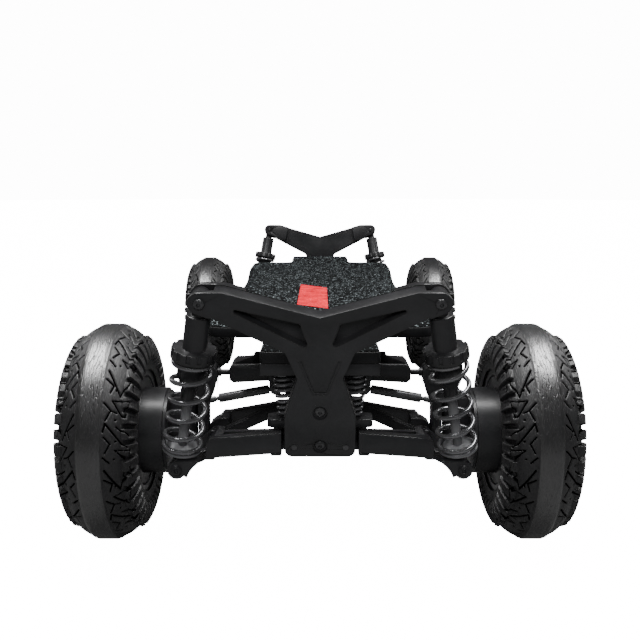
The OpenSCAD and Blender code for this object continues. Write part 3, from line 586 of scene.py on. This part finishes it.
rubber = bpy.data.materials.new("moulded_rubber")
rubber.use_nodes = True
tree = rubber.node_tree
rubber_body = tree.nodes["Principled BSDF"]
tread_place = tree.nodes.new("ShaderNodeAttribute")
tread_place.attribute_name = "tread_place"
parts = tree.nodes.new("ShaderNodeSeparateXYZ")
tree.links.new(tread_place.outputs["Vector"], parts.inputs["Vector"])
reach = number_step(tree, "ABSOLUTE", parts.outputs["Y"])
far_half = number_step(tree, "LESS_THAN", parts.outputs["Y"], 0.0)
shifted = number_step(tree, "MULTIPLY_ADD", far_half, side_shift, parts.outputs["X"])
turned = number_step(tree, "FLOORED_MODULO", shifted, pitch)
on_tread = tree.nodes.new("ShaderNodeCombineXYZ")
tree.links.new(turned, on_tread.inputs["X"])
tree.links.new(reach, on_tread.inputs["Y"])
nearest = None
for u0, s0, u1, s1, half_width in slits:
    one = tree.nodes.new("ShaderNodeGroup")
    one.node_tree = slit
    one.inputs["Half Width"].default_value = half_width
    one.inputs["Start"].default_value = (u0, s0, 0.0)
    one.inputs["End"].default_value = (u1, s1, 0.0)
    tree.links.new(on_tread.outputs["Vector"], one.inputs["Place"])
    gap = one.outputs["Gap"]
    nearest = gap if nearest is None else number_step(tree, "MINIMUM", nearest, gap)
land = tree.nodes.new("ShaderNodeMapRange")
land.inputs["From Min"].default_value = -0.25
land.inputs["From Max"].default_value = 0.3
tree.links.new(nearest, land.inputs["Value"])
band = tree.nodes.new("ShaderNodeMapRange")
band.inputs["From Min"].default_value = band_half * 1000 - 0.6
band.inputs["From Max"].default_value = band_half * 1000 + 0.4
band.inputs["To Min"].default_value = 0.27
band.inputs["To Max"].default_value = 0.47
tree.links.new(reach, band.inputs["Value"])
rubber_grain = tree.nodes.new("ShaderNodeGroup")
rubber_grain.node_tree = grain
rubber_grain.inputs["Scale"].default_value = 650.0
rubber_grain.inputs["Depth"].default_value = 0.25
tree.links.new(
    number_step(tree, "MULTIPLY_ADD", rubber_grain.outputs["Marks"], 0.14, band.outputs["Result"]),
    rubber_body.inputs["Roughness"])
sheen = tree.nodes.new("ShaderNodeMapRange")
sheen.inputs["From Min"].default_value = band_half * 1000 - 0.6
sheen.inputs["From Max"].default_value = band_half * 1000 + 0.4
sheen.inputs["To Min"].default_value = 1.0
sheen.inputs["To Max"].default_value = 0.5
tree.links.new(reach, sheen.inputs["Value"])
# The specular level is the land mask times the band's level, so it falls to nothing inside the slits: painted
# shade there.
tree.links.new(
    number_step(tree, "MULTIPLY", land.outputs["Result"], sheen.outputs["Result"]),
    rubber_body.inputs["Specular IOR Level"])
rubber_colour = tree.nodes.new("ShaderNodeValToRGB")
rubber_colour.color_ramp.elements[0].position = 0.3
rubber_colour.color_ramp.elements[1].position = 0.75
rubber_colour.color_ramp.elements[0].color = (0.0025, 0.0025, 0.0027, 1)
rubber_colour.color_ramp.elements[1].color = (0.006, 0.006, 0.0064, 1)
tree.links.new(rubber_grain.outputs["Marks"], rubber_colour.inputs["Fac"])
# Inside the slits the base colour is mixed to near black: painted shade in the slits, whose rubber is the same.
slit_painted_shade = tree.nodes.new("ShaderNodeMix")
slit_painted_shade.data_type = "RGBA"
slit_painted_shade.inputs["A"].default_value = (0.0004, 0.0004, 0.0004, 1)
tree.links.new(land.outputs["Result"], slit_painted_shade.inputs["Factor"])
tree.links.new(rubber_colour.outputs["Color"], slit_painted_shade.inputs["B"])
tree.links.new(slit_painted_shade.outputs["Result"], rubber_body.inputs["Base Color"])
slit_bump = tree.nodes.new("ShaderNodeBump")
slit_bump.inputs["Strength"].default_value = 0.5
slit_bump.inputs["Distance"].default_value = 0.0008
tree.links.new(land.outputs["Result"], slit_bump.inputs["Height"])
tree.links.new(rubber_grain.outputs["Normal"], slit_bump.inputs["Normal"])
# fine wavy sipes along the centre band
stretch = tree.nodes.new("ShaderNodeMapping")
stretch.inputs["Scale"].default_value = (0.045, 0.34, 1.0)
tree.links.new(tread_place.outputs["Vector"], stretch.inputs["Vector"])
sipes = tree.nodes.new("ShaderNodeTexNoise")
sipes.inputs["Scale"].default_value = 1.0
sipes.inputs["Detail"].default_value = 2.0
tree.links.new(stretch.outputs["Vector"], sipes.inputs["Vector"])
sipe_line = tree.nodes.new("ShaderNodeMapRange")
sipe_line.inputs["From Min"].default_value = 0.0
sipe_line.inputs["From Max"].default_value = 0.035
from_half = number_step(tree, "SUBTRACT", sipes.outputs["Fac"], 0.5)
tree.links.new(number_step(tree, "ABSOLUTE", from_half), sipe_line.inputs["Value"])
sipe_bump = tree.nodes.new("ShaderNodeBump")
sipe_bump.inputs["Strength"].default_value = 0.5
sipe_bump.inputs["Distance"].default_value = 0.0007
tree.links.new(sipe_line.outputs["Result"], sipe_bump.inputs["Height"])
tree.links.new(slit_bump.outputs["Normal"], sipe_bump.inputs["Normal"])
tree.links.new(sipe_bump.outputs["Normal"], rubber_body.inputs["Normal"])

for end in ("front", "rear"):
    for side in ("left", "right"):
        node = f"{end}_{side}_tyre"
        low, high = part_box(node)
        flip = np.array([1.0 if side == "left" else -1.0, 1.0, 1.0])
        bpy.ops.object.select_all(action="DESELECT")
        bpy.ops.mesh.primitive_grid_add(
            size=1.0, location=(0, 0, 0), x_subdivisions=wide, y_subdivisions=around)
        piece = bpy.context.object
        piece.name = node + "_moulded"
        # the sheet is rolled up: its columns run across the tyre and its rows round it
        sheet = np.empty(len(piece.data.vertices) * 3, dtype=np.float32)
        piece.data.vertices.foreach_get("co", sheet)
        column = np.rint((sheet[0::3] + 0.5) * wide).astype(int)
        row = np.rint((sheet[1::3] + 0.5) * around).astype(int)
        spots = tyre_points[row % around, column % wide] * flip + np.array((low + high) / 2)
        piece.data.vertices.foreach_set("co", spots.reshape(-1).astype(np.float32))
        corner_points = np.empty(len(piece.data.loops), dtype=np.int32)
        piece.data.loops.foreach_get("vertex_index", corner_points)
        round_tyre = row[corner_points] * (circumference_mm / around)
        places = piece.data.attributes.new("tread_place", "FLOAT_VECTOR", "CORNER")
        spread = np.stack([round_tyre, outs[column[corner_points] % wide], round_tyre * 0], axis=-1)
        places.data.foreach_set("vector", spread.reshape(-1).astype(np.float32))
        bpy.ops.object.mode_set(mode="EDIT")
        bpy.ops.mesh.select_all(action="SELECT")
        bpy.ops.mesh.remove_doubles(threshold=1e-6)
        bpy.ops.mesh.normals_make_consistent(inside=False)
        bpy.ops.object.mode_set(mode="OBJECT")
        bpy.ops.object.shade_smooth_by_angle(angle=math.radians(50.0))
        piece.data.materials.append(rubber)
        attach(piece, body_of_node[node])
        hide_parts(node)
